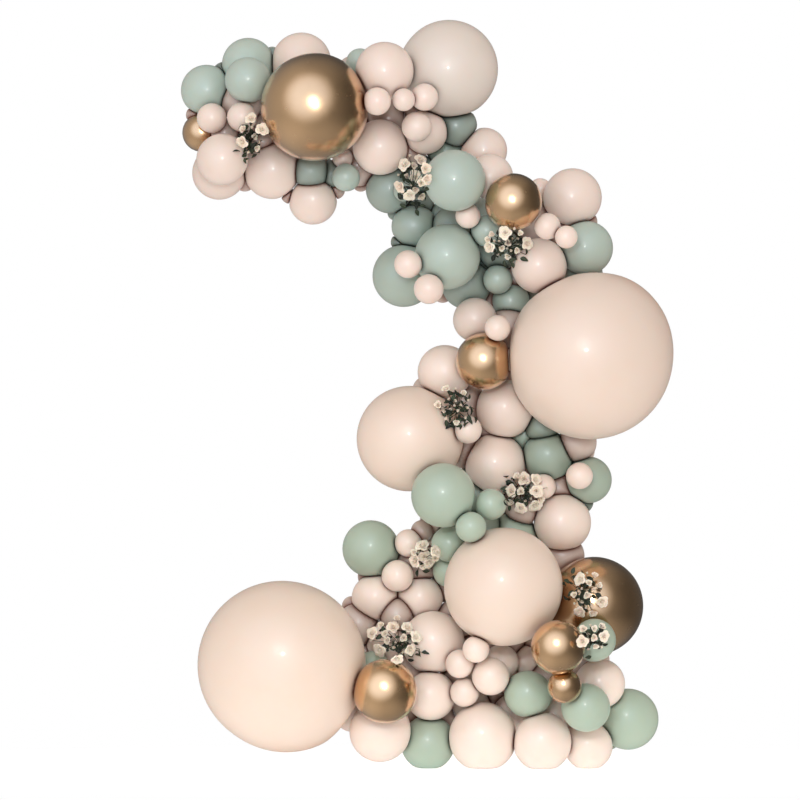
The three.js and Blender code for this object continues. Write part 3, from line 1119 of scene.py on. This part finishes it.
def tie_sprig(number, row, balloons, trees, dice):
    """Makes one sprig: its roses, and its leaves and stems."""
    host, across, up, width, height, *counts, lean = row
    full, half_open, buds, leaves = counts
    host = next(balloon for balloon in balloons if balloon.name == host)
    middle = Vector(host.centre) + Vector((across, 0, up)) * MM
    half = Vector((width, 0, height)) * MM / 2
    rim = [
        middle + Vector((half.x * math.cos(turn), 0, half.z * math.sin(turn))) * 0.75
        for turn in np.linspace(0, math.tau, 12, endpoint=False)
    ]
    middle.y = float(np.median([front_of(place, 4 * MM, balloons) for place in rim]))
    root = middle + Vector((0, 25 * MM, 0))
    root.y = min(root.y, front_of(root, 3 * MM, balloons))
    leaning = Vector((math.cos(math.radians(lean)), math.sin(math.radians(lean)))) * SPRIG_LEAN
    roses, greenery = Spots(), Spots()

    def place_at(spot, shift, clear):
        """A place in the sprig, in front of the balloons."""
        place = middle.copy()
        place.x += (spot[0] * SPRIG_FILL + shift.x) * half.x
        place.z += (spot[1] * SPRIG_FILL + shift.y) * half.z
        place.y = min(middle.y, front_of(place, clear, balloons))
        return place

    def stem_to(end):
        line = [root.lerp(end, step / 6) for step in range(7)]
        for place in line[1:-1]:
            place.y = min(place.y, front_of(place, 2 * MM, balloons))
        greenery.add_line(line)

    taken = []
    sizes = [(FULL, 27, 33)] * full + [(HALF_OPEN, 19, 25)] * half_open + [(BUD, 11, 15)] * buds
    for kind, least, most in sizes:
        size = dice.uniform(least, most) * MM
        spot = pick_place(dice, taken, size / half.length)
        place = place_at(spot, leaning, size * 0.75)
        place.y -= dice.uniform(8, 20) * MM
        tilt = Vector((dice.uniform(-0.3, 0.3), 0, dice.uniform(-0.3, 0.3)))
        forward = (Vector((spot[0] * 0.75, -1, spot[1] * 0.75)) + tilt).normalized()
        roses.add(place, kind, size, rose_turn(forward, dice.uniform(0, 6)), dice.random())
        stem_to(place - forward * size * 0.3)

    taken = []
    for leaf in range(leaves):
        length = dice.uniform(16, 30) * MM
        spot = pick_place(dice, taken, 0.0)
        base = place_at(Vector(spot) * 0.8, leaning * (0.5 if leaf % 2 else -0.8), 4 * MM)
        base.y -= dice.uniform(0, 12) * MM
        outwards = math.atan2(spot[1], spot[0]) + dice.uniform(-1.9, 1.9)
        tip = base + Vector((math.cos(outwards), 0, math.sin(outwards))) * length
        forwards = base.y + dice.uniform(-10, 8) * MM
        tip.y = min(forwards, front_of(tip, 4 * MM, balloons))
        facing = Vector((dice.uniform(-0.7, 0.7), -1, dice.uniform(-0.5, 0.8)))
        turn = leaf_turn(tip - base, facing, dice.uniform(-1.2, 1.2))
        greenery.add(base, 1, length, turn, dice.random())
        if leaf % 3 == 0:
            stem_to(base)

    rose_mesh = grow(trees[0], {"Cloth": SPRIG_MATERIALS["rose_cream"]}, roses.mesh("rose spots"))
    add_piece(f"roses_{number}", rose_mesh)
    values = {"Stem Radius": 1.1 * MM, "Cloth": SPRIG_MATERIALS["leaf_green"]}
    leaf_mesh = grow(trees[1], values, greenery.mesh("leaf spots"))
    add_piece(f"leaves_{number}", leaf_mesh)


def tie_sprigs(balloons):
    trees = (roses_tree(rose_tree()), greenery_tree(leaf_tree()))
    dice = random.Random(11)
    for number, row in enumerate(SPRIGS, 1):
        tie_sprig(number, row, balloons, trees, dice)


SPRIG_MATERIALS = {"rose_cream": rose_cream("rose_cream"), "leaf_green": leaf_green("leaf_green")}


# ---------------------------------------------------------------------------------------------
# Studio


def middle_of(box):
    return (box[0] + box[1]) / 2


def add_camera():
    """Looks straight at the garland from far off, with a little room round it."""
    centre = middle_of(solid_box)
    distance = 40.0
    view_width = 2.8
    to_left, upwards = 0.0933, -0.0195  # how far the view's middle is off the garland's
    data = bpy.data.cameras.new("camera")
    data.sensor_width = 36.0
    data.lens = data.sensor_width * (distance + centre.y) / view_width
    data.clip_end = 2.5 * distance
    camera = bpy.data.objects.new("camera", data)
    camera.location = (centre.x - to_left, -distance, centre.z + upwards)
    camera.rotation_euler = (math.pi / 2, 0, 0)
    bpy.context.scene.collection.objects.link(camera)
    bpy.context.scene.camera = camera


def add_softbox(name, place, width, height, watts, colour=(1.0, 1.0, 1.0)):
    """A soft light with a round front that faces the garland's middle."""
    data = bpy.data.lights.new(name, "AREA")
    data.shape = "ELLIPSE"
    data.size = width
    data.size_y = height
    data.energy = watts
    data.color = colour
    light = bpy.data.objects.new(name, data)
    light.location = place
    aim = middle_of(solid_box) - Vector(place)
    light.rotation_euler = aim.to_track_quat("-Z", "Y").to_euler()
    bpy.context.scene.collection.objects.link(light)


def add_world():
    """White all round for the camera; a dimmer room for light and reflections."""
    world = bpy.data.worlds.new("studio")
    world.use_nodes = True
    world.node_tree.nodes.clear()
    nodes = Nodes(world.node_tree)
    seen = nodes.add("ShaderNodeLightPath", None, None, "Is Camera Ray")
    glossy = nodes.sibling(seen, "Is Glossy Ray")
    direction = nodes.add("ShaderNodeTexCoord", None, None, "Generated")
    parts = nodes.add("ShaderNodeSeparateXYZ", None, {"Vector": direction})
    left, up, front = (nodes.sibling(parts, axis) * turn for axis, turn in (("X", -1), ("Z", 1), ("Y", -1)))
    panel = nodes.smooth_step(front + left * 0.25 + up * 0.4, 0.5, 1.05)
    side = nodes.smooth_step(left, -0.1, 0.9) + nodes.smooth_step(up * -1, 0.2, 1.0)
    glow = nodes.smooth_step(front + left * 0.5, -0.6, 0.8)
    bright = panel * 1.15 + side * 0.3 + glow * 0.17 + nodes.smooth_step(up, 0.5, 1.2) * 0.25 + 0.09
    tint = nodes.mix(panel, (0.98, 0.97, 0.96, 1), (0.86, 1.0, 1.3, 1))
    room = nodes.add("ShaderNodeVectorMath", {"operation": "SCALE"}, {0: tint, "Scale": bright})
    soft = nodes.mix(glossy, (0.91, 0.82, 0.755, 1), room)
    colour = nodes.mix(seen, soft, (1, 1, 1, 1))
    background = nodes.add("ShaderNodeBackground", None, {"Color": colour, "Strength": 1.0})
    nodes.add("ShaderNodeOutputWorld", None, {"Surface": background})
    bpy.context.scene.world = world


def add_floor():
    """A round pale floor that fades out before its edge."""
    radius = 3.0
    material, nodes = new_material("floor_paint")
    place = object_place(nodes)
    away = nodes.add("ShaderNodeVectorMath", {"operation": "LENGTH"}, {0: place}, "Value")
    mottle = nodes.noise(place, 3.0, 4.0)
    surface = nodes.add(
        "ShaderNodeBsdfPrincipled",
        None,
        {
            "Base Color": nodes.mix(mottle, (0.88, 0.875, 0.87, 1), (0.92, 0.915, 0.91, 1)),
            "Roughness": 0.9,
            "Emission Color": (1.0, 1.0, 1.0, 1.0),
            "Emission Strength": 0.6,
        },
    )
    clear = nodes.add("ShaderNodeBsdfTransparent")
    fade = nodes.smooth_step(away, radius * 0.25, radius * 0.95)
    both = nodes.add("ShaderNodeMixShader", None, {0: fade, 1: surface, 2: clear})
    nodes.add("ShaderNodeOutputMaterial", None, {"Surface": both})
    bpy.ops.mesh.primitive_circle_add(vertices=96, radius=radius, fill_type="NGON")
    floor = bpy.context.object
    floor.name = "floor"
    floor.location = (middle_of(solid_box).x, -0.25, FLOOR_Z - 0.001)
    floor.data.materials.append(material)
    floor.visible_glossy = False


def set_studio():
    add_world()
    add_floor()
    add_camera()
    add_softbox("key", (-0.9, -8.5, 1.4), 3.2, 3.2, 114, (0.93, 1.0, 1.0))
    add_softbox("flash", (-0.3, -8.0, 0.2), 0.5, 0.5, 95)
    bpy.context.scene.view_settings.view_transform = "Standard"


set_studio()
balloons = dress_balloons()
tie_sprigs(balloons)
